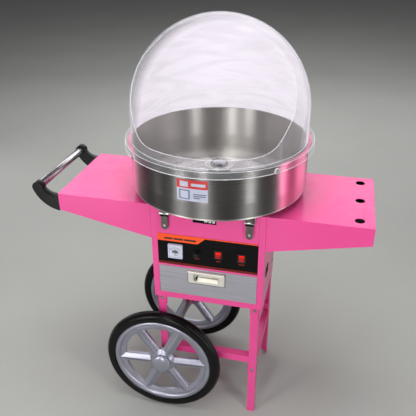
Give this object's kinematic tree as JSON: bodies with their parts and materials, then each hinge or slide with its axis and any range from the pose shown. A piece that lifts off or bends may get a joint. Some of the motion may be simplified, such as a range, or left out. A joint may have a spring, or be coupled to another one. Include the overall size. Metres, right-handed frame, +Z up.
{
  "type": "cotton candy machine",
  "caption": "Pink cart-type cotton candy machine: steel bowl with spinning head and clear bubble cover on a cabinet with drawer, side shelves, push handle and two spoked wheels.",
  "frame": {"origin": "middle of the footprint box, on the floor; the spindle axis stands at x = 0.041 m", "axes": "+Z up, front (control panel) towards -Y, push handle and wheels towards -X"},
  "size_m": [1.006, 0.5538, 1.277],
  "materials": {
    "pink_paint": "glossy powder coat",
    "galvanised_steel": "zinc plated",
    "brushed_stainless": "satin brushed",
    "bright_wire": "bright drawn wire",
    "chrome_tube": "mirror plated",
    "moulded_black": "fine moulded grain",
    "tyre_rubber": "smooth black rubber",
    "silver_rim": "metallic silver paint",
    "panel_black": "satin screen print",
    "meter_white": "gloss",
    "meter_needle": "matt",
    "clear_plastic": "clear polished",
    "red_plastic": "translucent red",
    "motor_enamel": "dark enamel",
    "mount_rubber": "matt",
    "ring_brass": "machined",
    "spinner_alloy": "turned"
  },
  "bodies": {
    "cart": {"base_tray": "pink_paint", "bowl": "brushed_stainless", "bowl_catches": "brushed_stainless", "brush_holder": "moulded_black", "cabinet_screws": "galvanised_steel", "control_panel": "panel_black", "divider_shelf": "galvanised_steel", "drawer_runners": "galvanised_steel", "front_fascia": "pink_paint", "front_frame": "pink_paint", "handle_bracket_front": "moulded_black", "handle_bracket_rear": "moulded_black", "handle_tube": "chrome_tube", "latch_bases": "brushed_stainless", "left_shelf": "pink_paint", "leg_front_left": "pink_paint", "leg_front_right": "pink_paint", "leg_rear_left": "pink_paint", "leg_rear_right": "pink_paint", "lower_rails": "pink_paint", "motor": "motor_enamel", "power_inlet": "moulded_black", "rear_panel": "pink_paint", "regulator_body": "moulded_black", "right_shelf": "pink_paint", "shelf_brackets": "pink_paint", "side_panel_left": "pink_paint", "side_panel_right": "pink_paint", "stand_bolts": "galvanised_steel", "switch_housings": "moulded_black", "top_deck": "pink_paint", "vibration_mounts": "mount_rubber", "voltmeter_case": "meter_white", "voltmeter_dial": "meter_white", "voltmeter_window": "clear_plastic", "wheel_axle": "galvanised_steel"},
    "wheel_front": {"tyre_front": "tyre_rubber", "wheel_rim_front": "silver_rim", "hub_cap_front": "silver_rim"},
    "wheel_rear": {"tyre_rear": "tyre_rubber", "wheel_rim_rear": "silver_rim", "hub_cap_rear": "silver_rim"},
    "spinner": {"spindle_shaft": "bright_wire", "slip_rings": "ring_brass", "spinner_base": "spinner_alloy", "heater_band": "ring_brass", "spinner_cap": "spinner_alloy"},
    "drawer": {"drawer_box": "brushed_stainless", "drawer_front": "brushed_stainless", "drawer_pull": "brushed_stainless"},
    "meter_pointer": {"voltmeter_needle": "meter_needle"},
    "knob": {"regulator_knob": "moulded_black"},
    "rocker_motor": {"motor_rocker": "red_plastic"},
    "rocker_heat": {"heat_rocker": "red_plastic"},
    "lever_left": {"latch_lever_left": "brushed_stainless"},
    "lever_right": {"latch_lever_right": "brushed_stainless"},
    "loop_left": {"latch_loop_left": "bright_wire"},
    "loop_right": {"latch_loop_right": "bright_wire"},
    "bubble": {"dome": "clear_plastic", "dome_screws": "galvanised_steel"}
  },
  "joints": [
    {"name": "spinner_spin", "type": "hinge", "parent": "cart", "child": "spinner", "pos_m": [0.041, 0, 0.842], "axis": [0, 0, 1], "continuous": true},
    {"name": "wheel_front_spin", "type": "hinge", "parent": "cart", "child": "wheel_front", "pos_m": [-0.107, -0.183, 0.195], "axis": [0, 1, 0], "continuous": true},
    {"name": "wheel_rear_spin", "type": "hinge", "parent": "cart", "child": "wheel_rear", "pos_m": [-0.107, 0.183, 0.195], "axis": [0, 1, 0], "continuous": true},
    {"name": "drawer_slide", "type": "slide", "parent": "cart", "child": "drawer", "axis": [0, -1, 0], "range_m": [0, 0.22]},
    {"name": "dome_lift", "type": "slide", "parent": "cart", "child": "bubble", "axis": [0, 0, 1], "range_m": [0, 0.35]},
    {"name": "pointer_swing", "type": "hinge", "parent": "cart", "child": "meter_pointer", "pos_m": [-0.055, -0.1655, 0.6085], "axis": [0, 1, 0], "range_deg": [0, 90], "stiffness_Nm_per_rad": 0.0001},
    {"name": "knob_turn", "type": "hinge", "parent": "cart", "child": "knob", "pos_m": [0.01, -0.168, 0.618], "axis": [0, 1, 0], "range_deg": [0, 270]},
    {"name": "motor_rocker_tilt", "type": "hinge", "parent": "cart", "child": "rocker_motor", "pos_m": [0.075, -0.154, 0.621], "axis": [1, 0, 0], "range_deg": [0, 18]},
    {"name": "heat_rocker_tilt", "type": "hinge", "parent": "cart", "child": "rocker_heat", "pos_m": [0.145, -0.154, 0.619], "axis": [1, 0, 0], "range_deg": [0, 18]},
    {"name": "latch_left_open", "type": "hinge", "parent": "cart", "child": "lever_left", "pos_m": [-0.084, -0.1655, 0.754], "axis": [-1, 0, 0], "range_deg": [0, 95]},
    {"name": "latch_left_link", "type": "hinge", "parent": "lever_left", "child": "loop_left", "pos_m": [-0.084, -0.1662, 0.742], "axis": [-1, 0, 0], "range_deg": [-153, 1]},
    {"name": "latch_right_open", "type": "hinge", "parent": "cart", "child": "lever_right", "pos_m": [0.166, -0.1655, 0.754], "axis": [-1, 0, 0], "range_deg": [0, 95]},
    {"name": "latch_right_link", "type": "hinge", "parent": "lever_right", "child": "loop_right", "pos_m": [0.166, -0.1662, 0.742], "axis": [-1, 0, 0], "range_deg": [-153, 1]}
  ],
  "couplings": [
    {"joint": "latch_left_link", "follows": "latch_left_open", "ratio": -1.6},
    {"joint": "latch_right_link", "follows": "latch_right_open", "ratio": -1.6}
  ]
}
